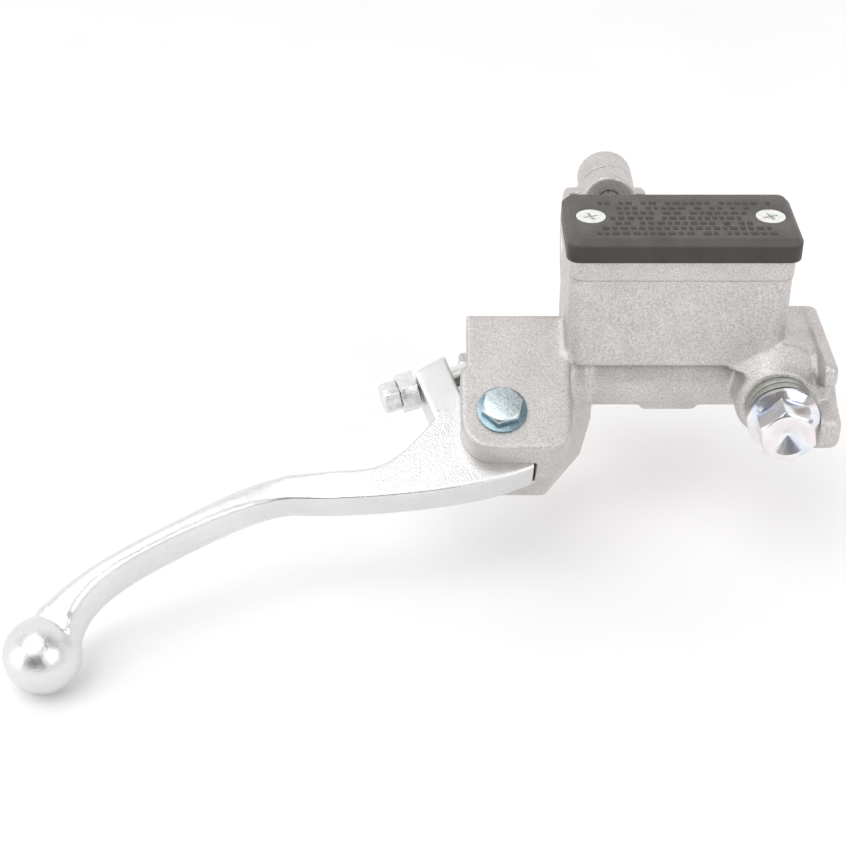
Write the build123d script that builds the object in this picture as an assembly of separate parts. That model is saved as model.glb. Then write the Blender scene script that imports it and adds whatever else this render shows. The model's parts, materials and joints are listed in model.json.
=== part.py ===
"""Front brake master cylinder of a motorcycle, with its lever and handlebar clamp.

Frame: origin at the centre of the handlebar bore. +X runs along the bar towards the hose end,
+Y points back to the rider and +Z points up. Millimetres throughout.

The lever swings in a plane that holds the cylinder's bore axis and is tilted about X. Its own
coordinates are (x, reach, height): reach is positive towards the handlebar, and height is
positive upwards along the pivot bolt.
"""

from build123d import *
import math
import os

# Handlebar clamp
BAR_RADIUS = 11.1
CLAMP_WIDTH = 23.0
SADDLE_WIDTH = 26.4
CLAMP_OUTER_RADIUS = 16.6
SPLIT_GAP = 0.4
CLAMP_BOLT_HEIGHT = 17.5
CLAMP_BOSS_RADIUS = 7.75
SADDLE_BOSS_LENGTH = 7.5
SADDLE_SINK_RADIUS = 4.3
CLAMP_HALF_BOSS_LENGTH = 10.5
CLAMP_FLANGE_RADIUS = 6.4

# Cylinder bore, which lies along X
BORE_Y = -33.0
BORE_Z = -22.0
BORE_RADIUS = 5.5
BARREL_RADIUS = 10.0
BARREL_COLLAR_RADIUS = 10.9
BARREL_COLLAR_END_X = -6.4
BARREL_END_RADIUS = 14.0
BARREL_END_X = 57.0
BORE_MOUTH_X = -21.0
BORE_END_X = 50.0
BOOT_POCKET_RADIUS = 8.0
BOOT_POCKET_X = -33.4

# Fluid reservoir
RESERVOIR_CENTRE_X = 16.4
RESERVOIR_LENGTH = 59.5
RESERVOIR_WIDTH = 26.0
RESERVOIR_CORNER = 4.0
RESERVOIR_BOTTOM = -13.5
RESERVOIR_TOP = 19.5
RESERVOIR_WALL = 3.0
RESERVOIR_FLOOR = -7.5
COLLAR_DROP = 6.0
COLLAR_STEP = 0.25
SUPPLY_PORT_X = 1.0
SUPPLY_PORT_RADIUS = 0.6
BLEED_PORT_X = 11.0
BLEED_PORT_RADIUS = 0.3
CAP_LENGTH = 62.0
CAP_WIDTH = 29.0
CAP_HEIGHT = 6.5
CAP_CORNER = 3.6
CAP_BEVEL = 1.5
CAP_SCREW_SPACING = 48.0
CAP_SCREW_HEAD_RADIUS = 4.0
DIAPHRAGM_FLANGE = 1.2
SIGHT_GLASS_X = 31.0
SIGHT_GLASS_Z = 4.0
SIGHT_GLASS_RADIUS = 6.0
SIGHT_BOSS_Y = -18.8
SIGHT_DEPTH = 2.2
DIAPHRAGM_EDGE = -1.2
DIAPHRAGM_BOTTOM = 14.0

# Lever
LEVER_TILT = 30.0
PIVOT_X = -31.2
PIVOT_REACH = -21.0
LEVER_THICKNESS = 12.0
HUB_RADIUS = 9.0
BALL_X = -151.5
BALL_REACH = -84.6
BALL_RADIUS = 10.3
BLADE_START_X = -90.0
BLADE_STATIONS = [
    # x, reach, slope, depth, crown, half height, corner radius
    (-88.0, -39.1, 0.0, 7.7, 0.3, 6.0, 0.8),
    (-101.5, -43.0, 0.45, 6.2, 1.8, 6.8, 1.0),
    (-115.0, -49.8, 0.56, 4.8, 3.1, 7.9, 1.2),
    (-130.0, -58.5, 0.62, 4.5, 3.4, 8.3, 1.2),
    (-141.5, -67.3, 0.85, 5.8, 3.6, 8.3, 1.6),
    (-148.2, -78.0, 1.6, 12.0, 2.0, 7.4, 3.0),
]
EAR_HEIGHT = 15.5
SLOT_HALF = 6.1
SLOT_END_X = -21.7
SLOT_FLOOR_REACH = -10.5
BUSH_RADIUS = 5.5
SHOULDER_RADIUS = 3.95
PIVOT_FLANGE_RADIUS = 6.75
PIVOT_HEX_TURN = 17.5

# Adjuster screw in the lever, with a ball-shaped tip that pushes the piston
ADJUSTER_ANGLE = 19.5
TIP_BALL_X = -38.5
TIP_BALL_REACH = -0.7
TIP_BALL_RADIUS = 3.0
LOCK_NUT_START = 17.0
LOCK_NUT_END = 22.0
ADJUSTER_HEAD_START = 22.3
ADJUSTER_HEAD_END = 26.8

# Piston group
FREE_PLAY = 0.25
PISTON_RADIUS = 5.45
PISTON_ROD_RADIUS = 3.6
PISTON_END_X = TIP_BALL_X + TIP_BALL_RADIUS + FREE_PLAY
PISTON_HEAD_X = 11.5
STOP_WASHER_THICKNESS = 1.0
CIRCLIP_THICKNESS = 1.0
CIRCLIP_GROOVE_RADIUS = 8.6
STOP_WASHER_X = BORE_MOUTH_X - STOP_WASHER_THICKNESS
CIRCLIP_X = STOP_WASHER_X - 0.05 - CIRCLIP_THICKNESS
CUP_RADIUS = 5.46
CUP_LENGTH = 3.5
PRIMARY_CUP_X = 6.5
PRIMARY_SEAT_RADIUS = 2.6
SECONDARY_CUP_X = -18.0
SECONDARY_SEAT_RADIUS = 3.4
PISTON_WAIST_RADIUS = 3.8
PISTON_NOSE_RADIUS = 4.6
BOOT_END_X = -34.6
SPRING_COIL_RADIUS = 4.2
SPRING_WIRE_RADIUS = 0.5
SPRING_TURNS = 8

# Hose port and banjo bolt, whose axis lies along -Y
PORT_X = 44.7
PORT_SEAT_Y = -52.0
PORT_RADIUS = 5.05
PORT_LIP_RADIUS = 10.4
HOSE_BOSS_RADIUS = 11.6
WASHER_RADIUS = 9.25
WASHER_THICKNESS = 2.4
BANJO_FLANGE_BACK_Y = -58.3
BANJO_FLANGE_RADIUS = 9.7
BANJO_FLANGE_THICKNESS = 2.4
BANJO_HEAD_END_Y = -68.0
BANJO_TIP_Y = -39.2
BANJO_RADIUS = 5.0
BANJO_HEX_TURN = 41.0
FORK_INSIDE_X = 54.8
FORK_OUTSIDE_X = 58.6
FINGER_OUTSIDE_X = 61.0

# Metric fasteners
M4_RADIUS = 2.0
M6_RADIUS = 3.0
THREAD_CLEARANCE = 0.05

TILT = math.radians(LEVER_TILT)
LEVER_PLANE = Plane(
    origin=(0, BORE_Y, BORE_Z),
    x_dir=(1, 0, 0),
    z_dir=(0, -math.sin(TILT), math.cos(TILT)),
)
BORE_PLANE = Plane(origin=(0, BORE_Y, BORE_Z), x_dir=(0, 1, 0), z_dir=(1, 0, 0))
PORT_PLANE = Plane(origin=(PORT_X, 0, BORE_Z), x_dir=(1, 0, 0), z_dir=(0, -1, 0))
PIVOT_PLANE = Plane(LEVER_PLANE * Plane(origin=(PIVOT_X, PIVOT_REACH, 0)))
ADJUSTER_TURN = math.radians(ADJUSTER_ANGLE)
ADJUSTER_PLANE = LEVER_PLANE * Plane(
    origin=(TIP_BALL_X, TIP_BALL_REACH, 0),
    x_dir=(-math.sin(ADJUSTER_TURN), math.cos(ADJUSTER_TURN), 0),
    z_dir=(-math.cos(ADJUSTER_TURN), -math.sin(ADJUSTER_TURN), 0),
)
CLAMP_PLANE = Plane(origin=(0, 0, 0), x_dir=(0, 1, 0), z_dir=(1, 0, 0))
SIGHT_PLANE = Plane(origin=(SIGHT_GLASS_X, 0, SIGHT_GLASS_Z), x_dir=(-1, 0, 0), z_dir=(0, 1, 0))


def box_between(low, high):
    """A box from its lowest corner to its highest corner."""
    size = [high[i] - low[i] for i in range(3)]
    middle = [(high[i] + low[i]) / 2 for i in range(3)]
    return Pos(*middle) * Box(*size)


def rod(plane, radius, start, end, centre=(0, 0)):
    """A cylinder along the plane's normal, between two heights over the plane."""
    middle = (centre[0], centre[1], (start + end) / 2)
    return plane * (Pos(*middle) * Cylinder(radius, abs(end - start)))


def ring(plane, outer, inner, start, end, centre=(0, 0)):
    """A flat ring along the plane's normal."""
    hole = rod(plane, inner, min(start, end) - 1, max(start, end) + 1, centre)
    return rod(plane, outer, start, end, centre) - hole


def turned(plane, outline):
    """A solid turned about the plane's normal, from (radius, height) points."""
    wire = Polyline(*[(radius, 0, height) for radius, height in outline], close=True)
    return plane * revolve(make_face(wire), axis=Axis.Z)


def slab(plane, outline, low, high):
    """A closed outline in a plane, made solid between two heights over it."""
    face = Pos(0, 0, low) * make_face(outline)
    return plane * extrude(face, amount=high - low)


def hexagon(plane, across_flats, start, end, turn=0.0, crown=0.6):
    """A hexagonal head or nut whose corners are turned off by a cone at its outer end."""
    flat = across_flats / 2
    corner = flat / math.cos(math.radians(30))
    shape = RegularPolygon(flat, 6, major_radius=False, rotation=turn)
    blank = extrude(Pos(0, 0, start) * shape, amount=end - start)
    outline = [
        (0, start),
        (corner, start),
        (corner, end - crown),
        (flat - 0.2, end),
        (0, end),
    ]
    return plane * (blank & turned(Plane.XY, outline))


def cap_screw_places():
    """Where the two cap screws stand, seen from above."""
    half = CAP_SCREW_SPACING / 2
    return [(RESERVOIR_CENTRE_X - half, BORE_Y), (RESERVOIR_CENTRE_X + half, BORE_Y)]


def reservoir_plan(grow, corner):
    """The reservoir's plan, grown or shrunk all round."""
    return RectangleRounded(RESERVOIR_LENGTH + 2 * grow, RESERVOIR_WIDTH + 2 * grow, corner)


def reservoir_walls():
    """The outside of the fluid box, with the slightly thicker collar under the cap."""
    base = Pos(RESERVOIR_CENTRE_X, BORE_Y, RESERVOIR_BOTTOM)
    height = RESERVOIR_TOP - RESERVOIR_BOTTOM
    walls = extrude(base * reservoir_plan(0, RESERVOIR_CORNER), amount=height)
    walls = fillet(walls.faces().sort_by(Axis.Z)[0].edges(), 1.5)
    collar = Pos(RESERVOIR_CENTRE_X, BORE_Y, RESERVOIR_TOP - COLLAR_DROP)
    walls += extrude(collar * reservoir_plan(COLLAR_STEP, RESERVOIR_CORNER), amount=COLLAR_DROP)
    return walls


def reservoir_well(grow=0.0, floor=RESERVOIR_FLOOR, top=RESERVOIR_TOP + 1):
    """The fluid space, which leaves a threaded post for each cap screw."""
    plan = reservoir_plan(grow - RESERVOIR_WALL, 2.5)
    for x, y in cap_screw_places():
        side = math.copysign(1, x - RESERVOIR_CENTRE_X)
        radius = 4.2 - grow
        plan -= Pos(x - RESERVOIR_CENTRE_X, 0) * Circle(radius)
        plan -= Pos(x - RESERVOIR_CENTRE_X + side * 5, 0) * Rectangle(10, 2 * radius)
    return extrude(Pos(RESERVOIR_CENTRE_X, BORE_Y, floor) * plan, amount=top - floor)


def ear_block():
    """The head that holds the lever, with rounded front corners and soft rims."""
    left, right, back, front = -42.2, -12.2, 8.8, -32.4
    points = [(left, back), (right, back), (right, front), (left, front)]
    outline = FilletPolyline(*points, radius=[1.0, 1.0, 7.5, 9.0], close=True)
    block = slab(LEVER_PLANE, outline, -EAR_HEIGHT, EAR_HEIGHT)
    along_pivot = Axis(LEVER_PLANE.origin, LEVER_PLANE.z_dir)
    ends = block.faces().sort_by(along_pivot)
    block = fillet(ends[0].edges() + ends[-1].edges(), 0.9)
    notch = LEVER_PLANE * box_between((left - 5, -8.0, SLOT_HALF), (left + 1.8, 20, 30))
    flank = Plane(origin=(-17.5, -31.2, -EAR_HEIGHT), x_dir=(9.9, 12, 0), z_dir=(0.771, -0.636, -0.11))
    corner = LEVER_PLANE * (flank * box_between((-20, -10, 0), (40, 40, 20)))
    return block - notch - corner


def ear_root():
    """The web that spreads from the head's side down to the barrel."""
    top = [(-20, -31.0), (-14.5, -28.5), (-12.4, -24), (-11.9, -8), (-11.9, 6), (-20, 6)]
    low = [(-20, -31.6), (-17.6, -31.3), (-7.6, -19.2), (-4.0, -8), (-2.5, 6), (-20, 6)]
    high_face = Pos(0, 0, 6.5) * make_face(Polyline(*top, close=True))
    low_face = Pos(0, 0, -EAR_HEIGHT) * make_face(Polyline(*low, close=True))
    return LEVER_PLANE * loft([low_face, high_face], ruled=True)


def lever_slot():
    """The gap between the two ears, where the lever turns, and the lever lug's way in."""
    front = box_between((-70, -60, -SLOT_HALF), (SLOT_END_X, SLOT_FLOOR_REACH, SLOT_HALF))
    lug = box_between((-70, -12, -SLOT_HALF), (BOOT_POCKET_X, 30, SLOT_HALF))
    return LEVER_PLANE * (front + lug)


def barrel():
    """The cylinder that holds the piston, its fluid end and the flat below it."""
    tube = rod(BORE_PLANE, BARREL_RADIUS, -30, 50)
    collar = rod(BORE_PLANE, BARREL_COLLAR_RADIUS, -25, BARREL_COLLAR_END_X)
    tube += chamfer(collar.edges().filter_by(GeomType.CIRCLE), 0.6)
    end = rod(BORE_PLANE, BARREL_END_RADIUS, 47, BARREL_END_X)
    end = fillet(end.edges().filter_by(GeomType.CIRCLE), 2.4)
    pad = Pos(16.9, BORE_Y, BORE_Z - 9) * Box(16, 9, 5)
    pad = fillet(pad.faces().sort_by(Axis.Z)[0].edges(), 2.2)
    return tube + end + pad


def hose_boss():
    """The boss for the hose bolt, which flares out where it meets the reservoir's wall."""
    seat = -PORT_SEAT_Y
    radius = HOSE_BOSS_RADIUS
    lip = [(PORT_LIP_RADIUS, 51.4), (PORT_LIP_RADIUS, seat), (0, seat)]
    boss = turned(PORT_PLANE, [(0, 20), (radius, 20), (radius, 49.8), (radius - 0.7, 51.0)] + lip)
    flare = turned(PORT_PLANE, [(0, 40), (15.8, 40), (15.8, 45.6), (radius, 49.8), (0, 49.8)])
    above_barrel = box_between((0, -60, BORE_Z + 8), (80, 0, 20))
    return boss + (flare & above_barrel)


def hose_fork():
    """The wall beside the hose port, its thick root, and the two prongs that hold the hose still."""
    points = [(-20, -7), (-57, -7), (-57, -13.5), (-51.5, -15), (-51.5, -21), (-45, -28), (-20, -28)]
    outline = FilletPolyline(*points, radius=[5, 2.2, 2.4, 2.2, 1.5, 5, 3], close=True)
    upper = slab(CLAMP_PLANE, outline, FORK_INSIDE_X, FORK_OUTSIDE_X)
    upper = fillet(upper.faces().sort_by(Axis.X)[-1].edges(), 1.6)
    points = [(-46, -17), (-51.5, -20.5), (-60, -22.5), (-60, -30.5), (-52, -36), (-38, -36), (-38, -17)]
    outline = FilletPolyline(*points, radius=[2, 1.5, 3, 3.4, 5, 5, 2], close=True)
    lower = slab(CLAMP_PLANE, outline, FORK_INSIDE_X, FINGER_OUTSIDE_X)
    lower = fillet(lower.faces().sort_by(Axis.X)[-1].edges(), 2.6)
    points = [(-20, -8.4), (-46.5, -8.4), (-50.6, -12.6), (-50.6, -24), (-20, -24)]
    outline = FilletPolyline(*points, radius=[1, 3, 2.5, 1, 1], close=True)
    root = slab(CLAMP_PLANE, outline, PORT_X, FORK_OUTSIDE_X - 1.0)
    return upper + lower + root


def saddle():
    """The body's half of the handlebar clamp and the web that carries it."""
    half = CLAMP_WIDTH / 2
    wide = SADDLE_WIDTH / 2
    arch = rod(CLAMP_PLANE, CLAMP_OUTER_RADIUS, -wide, wide)
    web = box_between((-wide, -24, -25), (wide, -10, 12))
    shoulder = -BAR_RADIUS - 0.2
    points = [(-wide, -30), (wide, -30), (wide, shoulder - 2), (half, shoulder), (half, 5)]
    points += [(-half, 5), (-half, shoulder), (-wide, shoulder - 2)]
    plan = make_face(Polyline(*points, close=True))
    saddle_body = (arch + web) & extrude(Pos(0, 0, -40) * plan, amount=80)
    for height in (CLAMP_BOLT_HEIGHT, -CLAMP_BOLT_HEIGHT):
        boss = rod(Plane.XZ, CLAMP_BOSS_RADIUS, -1, SADDLE_BOSS_LENGTH, (0, height))
        boss = chamfer(boss.edges().filter_by(GeomType.CIRCLE), 0.6)
        saddle_body += boss
    rider_side = box_between((-50, -SPLIT_GAP, -60), (50, 60, 60))
    return saddle_body - rider_side


def body():
    """The one-piece casting: reservoir, barrel, lever head, hose port and clamp saddle."""
    casting = reservoir_walls() + barrel() + ear_block() + ear_root()
    casting += hose_boss() + hose_fork() + saddle()
    casting += rod(SIGHT_PLANE, SIGHT_GLASS_RADIUS + 2.6, -22, SIGHT_BOSS_Y)
    casting -= reservoir_well()
    casting -= lever_slot()
    casting -= rod(CLAMP_PLANE, BAR_RADIUS, -60, 60)
    casting -= rod(BORE_PLANE, BORE_RADIUS, BOOT_POCKET_X - 10, BORE_END_X)
    casting -= rod(BORE_PLANE, BOOT_POCKET_RADIUS, BOOT_POCKET_X - 10, BORE_MOUTH_X)
    groove = (CIRCLIP_X - 0.05, STOP_WASHER_X)
    casting -= rod(BORE_PLANE, CIRCLIP_GROOVE_RADIUS, *groove)
    casting -= rod(PORT_PLANE, PORT_RADIUS, -BORE_Y, 60)
    for x, radius in ((SUPPLY_PORT_X, SUPPLY_PORT_RADIUS), (BLEED_PORT_X, BLEED_PORT_RADIUS)):
        casting -= rod(Plane.XY, radius, BORE_Z, 0, (x, BORE_Y))
    for x, y in cap_screw_places():
        casting -= rod(Plane.XY, M4_RADIUS + THREAD_CLEARANCE, 4, 40, (x, y))
    for height in (CLAMP_BOLT_HEIGHT, -CLAMP_BOLT_HEIGHT):
        casting -= rod(Plane.XZ, M6_RADIUS + THREAD_CLEARANCE, -5, 12, (0, height))
        front = Plane(origin=(0, -SADDLE_BOSS_LENGTH, height), x_dir=(1, 0, 0), z_dir=(0, -1, 0))
        rim = SADDLE_SINK_RADIUS
        casting -= turned(front, [(0, -1.3), (M6_RADIUS, -1.3), (rim, 0), (rim, 1), (0, 1)])
    casting -= rod(PIVOT_PLANE, SHOULDER_RADIUS + THREAD_CLEARANCE, 0, 40)
    casting -= rod(PIVOT_PLANE, M6_RADIUS + THREAD_CLEARANCE, -40, 0)
    casting -= rod(SIGHT_PLANE, SIGHT_GLASS_RADIUS + 1, SIGHT_BOSS_Y - SIGHT_DEPTH, 0)
    casting -= rod(SIGHT_PLANE, SIGHT_GLASS_RADIUS - 1.5, -26, 0)
    return casting


def reservoir_cap():
    """The plastic lid, hollow below for the diaphragm and countersunk for its screws."""
    plan = RectangleRounded(CAP_LENGTH, CAP_WIDTH, CAP_CORNER)
    lid = extrude(Pos(RESERVOIR_CENTRE_X, BORE_Y, RESERVOIR_TOP) * plan, amount=CAP_HEIGHT)
    lid = chamfer(lid.faces().sort_by(Axis.Z)[-1].edges(), CAP_BEVEL)
    flange = reservoir_plan(DIAPHRAGM_EDGE, 2.5)
    flange_place = Pos(RESERVOIR_CENTRE_X, BORE_Y, RESERVOIR_TOP)
    lid -= extrude(flange_place * flange, amount=DIAPHRAGM_FLANGE)
    lid -= reservoir_well(-2.0, RESERVOIR_TOP, RESERVOIR_TOP + 3.6)
    for x, y in cap_screw_places():
        lid -= rod(Plane.XY, 2.25, 0, 40, (x, y))
        sink = Plane(origin=(x, y, RESERVOIR_TOP + CAP_HEIGHT))
        rim = CAP_SCREW_HEAD_RADIUS + 0.1
        lid -= turned(sink, [(0, -2.4), (2.1, -2.3), (rim, -0.3), (rim, 0.1), (0, 0.1)])
    return lid


def diaphragm():
    """The rubber membrane: a flange under the lid and a deep cup that follows the fluid."""
    flange_place = Pos(RESERVOIR_CENTRE_X, BORE_Y, RESERVOIR_TOP)
    flange = extrude(flange_place * reservoir_plan(DIAPHRAGM_EDGE - 0.1, 2.4), amount=DIAPHRAGM_FLANGE)
    cup = reservoir_well(-0.8, DIAPHRAGM_BOTTOM, RESERVOIR_TOP)
    hollow = reservoir_well(-2.0, DIAPHRAGM_BOTTOM + 1.0, RESERVOIR_TOP + 5)
    membrane = flange + cup - hollow
    for x, y in cap_screw_places():
        membrane -= rod(Plane.XY, 2.3, 0, 40, (x, y))
    return membrane


def cap_screw(x, y):
    """A countersunk M4 screw with a cross recess."""
    top = Plane(origin=(x, y, RESERVOIR_TOP + CAP_HEIGHT))
    head = CAP_SCREW_HEAD_RADIUS
    shank = [(0, -15), (1.6, -15), (M4_RADIUS, -14.5), (M4_RADIUS, -2.2)]
    screw = turned(top, shank + [(head, -0.25), (head, 0), (0, 0)])
    for turn in (0, 90):
        screw -= top * (Rot(0, 0, turn + 20) * Pos(0, 0, -0.6) * Box(4.2, 0.8, 1.2))
    return screw


def cap_screws():
    """Both screws of the lid."""
    return Compound([cap_screw(x, y) for x, y in cap_screw_places()])


def port_shield():
    """The small sheet-metal bridge over the two fluid ports, which calms the return jet."""
    middle = (SUPPLY_PORT_X + BLEED_PORT_X) / 2
    low = RESERVOIR_FLOOR
    plate = box_between((middle - 9, BORE_Y - 4, low), (middle + 9, BORE_Y + 4, low + 2.5))
    hollow = box_between((middle - 8.5, BORE_Y - 5, low - 1), (middle + 8.5, BORE_Y + 5, low + 2.0))
    return plate - hollow


def sight_glass():
    """The round window that shows the fluid level, on the rider's side."""
    plane = SIGHT_PLANE
    start = SIGHT_BOSS_Y - SIGHT_DEPTH
    outline = [
        (0, start),
        (SIGHT_GLASS_RADIUS - 0.1, start),
        (SIGHT_GLASS_RADIUS - 0.1, start + 1.4),
        (SIGHT_GLASS_RADIUS - 1.2, start + 2.0),
        (0, start + 2.2),
    ]
    return turned(plane, outline)


def sight_glass_seal():
    """The rubber ring around the window."""
    start = SIGHT_BOSS_Y - SIGHT_DEPTH
    return ring(SIGHT_PLANE, SIGHT_GLASS_RADIUS + 0.98, SIGHT_GLASS_RADIUS, start, start + 1.7)


def piston():
    """The aluminium piston, with a groove for each rubber cup and a rod for the lever."""
    tip = PISTON_HEAD_X
    shoulder = BORE_MOUTH_X + 0.05
    outline = [
        (0, PISTON_END_X),
        (PISTON_ROD_RADIUS - 0.5, PISTON_END_X),
        (PISTON_ROD_RADIUS, PISTON_END_X + 0.5),
        (PISTON_ROD_RADIUS, shoulder),
        (PISTON_RADIUS, shoulder),
        (PISTON_RADIUS, SECONDARY_CUP_X),
        (SECONDARY_SEAT_RADIUS, SECONDARY_CUP_X),
        (SECONDARY_SEAT_RADIUS, SECONDARY_CUP_X + CUP_LENGTH),
        (PISTON_RADIUS, SECONDARY_CUP_X + CUP_LENGTH),
        (PISTON_RADIUS, SECONDARY_CUP_X + CUP_LENGTH + 0.8),
        (PISTON_WAIST_RADIUS, SECONDARY_CUP_X + CUP_LENGTH + 1.6),
        (PISTON_WAIST_RADIUS, PRIMARY_CUP_X - 2.2),
        (PISTON_RADIUS, PRIMARY_CUP_X - 1.4),
        (PISTON_RADIUS, PRIMARY_CUP_X),
        (PRIMARY_SEAT_RADIUS, PRIMARY_CUP_X),
        (PRIMARY_SEAT_RADIUS, PRIMARY_CUP_X + CUP_LENGTH),
        (PISTON_NOSE_RADIUS, PRIMARY_CUP_X + CUP_LENGTH),
        (PISTON_NOSE_RADIUS, tip),
        (0, tip),
    ]
    return turned(BORE_PLANE, outline)


def cup(seat_radius, start):
    """A rubber cup seal with a thin lip that faces the fluid."""
    end = start + CUP_LENGTH - 0.1
    lip = 0.7
    outline = [
        (seat_radius + 0.02, start + 0.05),
        (CUP_RADIUS - 0.1, start + 0.05),
        (CUP_RADIUS, end),
        (CUP_RADIUS - lip, end),
        (CUP_RADIUS - lip - 0.1, end - 1.8),
        (seat_radius + 0.7, end - 1.8),
        (seat_radius + 0.6, end - 0.3),
        (seat_radius + 0.02, end - 0.3),
    ]
    return turned(BORE_PLANE, outline)


def return_spring():
    """The coil spring that pushes the piston back against its stop."""
    start = PISTON_HEAD_X + SPRING_WIRE_RADIUS + 0.1
    length = BORE_END_X - SPRING_WIRE_RADIUS - 0.1 - start
    path = Helix(length / SPRING_TURNS, length, SPRING_COIL_RADIUS)
    wire = Plane(origin=path @ 0, z_dir=path % 0) * Circle(SPRING_WIRE_RADIUS)
    coil = sweep(wire, path=path, is_frenet=True)
    return BORE_PLANE * (Pos(0, 0, start) * coil)


def stop_washer():
    """The steel washer that the piston comes back to."""
    return ring(BORE_PLANE, BOOT_POCKET_RADIUS - 0.1, PISTON_ROD_RADIUS + 0.3, STOP_WASHER_X, BORE_MOUTH_X)


def circlip():
    """The internal snap ring, open at the bottom, that holds the stop washer."""
    end = CIRCLIP_X + CIRCLIP_THICKNESS
    clip = ring(BORE_PLANE, CIRCLIP_GROOVE_RADIUS - 0.1, CIRCLIP_GROOVE_RADIUS - 2.0, CIRCLIP_X, end)
    for side in (-1, 1):
        ear = rod(BORE_PLANE, 1.3, CIRCLIP_X, end, (side * 2.6, -5.9))
        clip += ear
        clip -= rod(BORE_PLANE, 0.6, CIRCLIP_X - 1, end + 1, (side * 2.6, -5.9))
    gap = BORE_PLANE * box_between((-1.4, -12, CIRCLIP_X - 1), (1.4, -3, end + 1))
    return clip - gap


def dust_boot():
    """The rubber bellows between the pocket's wall and the piston rod."""
    start = CIRCLIP_X - 0.15
    wall = 0.7
    pleats = 4
    length = start - BOOT_END_X - 2.6
    outside = [(BOOT_POCKET_RADIUS - 0.1, start), (BOOT_POCKET_RADIUS - 0.1, start - 1.3)]
    inside = [(BOOT_POCKET_RADIUS - 1.4, start), (BOOT_POCKET_RADIUS - 1.4, start - 1.0)]
    for index in range(2 * pleats):
        height = start - 1.3 - (index + 0.5) * length / (2 * pleats)
        radius = 6.0 if index % 2 == 0 else 7.3 - 0.12 * index
        outside.append((radius, height))
        inside.append((radius - wall, height))
    outside += [(5.0, BOOT_END_X + 1.2), (4.9, BOOT_END_X)]
    inside += [(PISTON_ROD_RADIUS + 0.35, BOOT_END_X + 1.3), (PISTON_ROD_RADIUS + 0.02, BOOT_END_X + 1.0)]
    inside += [(PISTON_ROD_RADIUS + 0.02, BOOT_END_X)]
    return turned(BORE_PLANE, outside + inside[::-1])


def lever_plate():
    """The flat forged root of the lever: tail, hub, adjuster lug and the start of the blade."""
    half = LEVER_THICKNESS / 2
    tail_tip = (SLOT_END_X - 0.5, -33.2)
    front = Spline(
        tail_tip,
        (-53.0, -41.0),
        (-75.0, -42.8),
        (BLADE_START_X, -43.0),
        tangents=[(-1, -0.48), (-1, 0.0)],
    )
    root = Line(front @ 1, (BLADE_START_X, -35.2))
    back = Spline(
        root @ 1,
        (-75.0, -34.1),
        (-64.0, -32.4),
        (-55.6, -26.0),
        (-49.2, -18.3),
        tangents=[(1, 0.05), (0.6, 0.8)],
    )
    lug = Polyline(back @ 1, (-54.6, -4.9), (-53.8, -3.4), (-46.4, 1.2), (-42.7, -8.9), (-40.0, -14.0))
    hub_top = (PIVOT_X, PIVOT_REACH + HUB_RADIUS)
    hub_side = (PIVOT_X + HUB_RADIUS, PIVOT_REACH)
    neck = Line(lug @ 1, (PIVOT_X - HUB_RADIUS * math.sin(0.5), PIVOT_REACH + HUB_RADIUS * math.cos(0.5)))
    hub = ThreePointArc(neck @ 1, hub_top, hub_side)
    tail = Line(hub @ 1, tail_tip)
    outline = Wire([front, root, back] + lug.edges() + [neck, hub, tail])
    plate = slab(LEVER_PLANE, outline, -half, half)
    along_pivot = Axis(LEVER_PLANE.origin, LEVER_PLANE.z_dir)
    sides = plate.faces().sort_by(along_pivot)
    rims = sides[0].edges() + sides[-1].edges()
    return fillet([edge for edge in rims if edge.geom_type == GeomType.BSPLINE], 0.7)


def blade_section(x, reach, slope, depth, crown, half_height, corner):
    """One cross-section of the blade: flat at the back and crowned where the fingers pull."""
    plane = LEVER_PLANE * Plane(origin=(x, reach, 0), x_dir=(slope, -1, 0), z_dir=(-1, -slope, 0))
    back, front = -depth / 2, depth / 2
    points = [
        (back, half_height),
        (back, -half_height),
        (front, -half_height),
        (front + crown, 0),
        (front, half_height),
    ]
    radii = [corner, corner, corner, 5 * corner, corner]
    return plane * make_face(FilletPolyline(*points, radius=radii, close=True))


def lever():
    """The brake lever in one piece, with its bush seat and the adjuster's threaded hole."""
    sections = [blade_section(*station) for station in BLADE_STATIONS]
    shape = lever_plate() + loft(sections)
    shape += LEVER_PLANE * (Pos(BALL_X, BALL_REACH, 0) * Sphere(BALL_RADIUS))
    shape -= rod(PIVOT_PLANE, BUSH_RADIUS + 0.01, -20, 20)
    shape -= rod(ADJUSTER_PLANE, M6_RADIUS + THREAD_CLEARANCE, -10, 30)
    return shape


def pivot_bush():
    """The bronze bush in the lever that turns on the pivot bolt's shoulder."""
    half = SLOT_HALF - 0.05
    return ring(PIVOT_PLANE, BUSH_RADIUS, SHOULDER_RADIUS + 0.04, -half, half)


def pivot_bolt():
    """The flanged pivot bolt: hexagonal head, plain shoulder and M6 thread."""
    bolt = rod(PIVOT_PLANE, PIVOT_FLANGE_RADIUS, EAR_HEIGHT, EAR_HEIGHT + 0.9)
    bolt = chamfer(bolt.edges().filter_by(GeomType.CIRCLE)[-1:], 0.4)
    start, end = EAR_HEIGHT + 0.7, EAR_HEIGHT + 4.0
    bolt += hexagon(PIVOT_PLANE, 10.0, start, end, turn=PIVOT_HEX_TURN, crown=0.8)
    bolt += rod(PIVOT_PLANE, SHOULDER_RADIUS, -SLOT_HALF + 0.05, EAR_HEIGHT + 1)
    bolt += rod(PIVOT_PLANE, M6_RADIUS, -EAR_HEIGHT - 8.0, 0)
    return bolt


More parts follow.
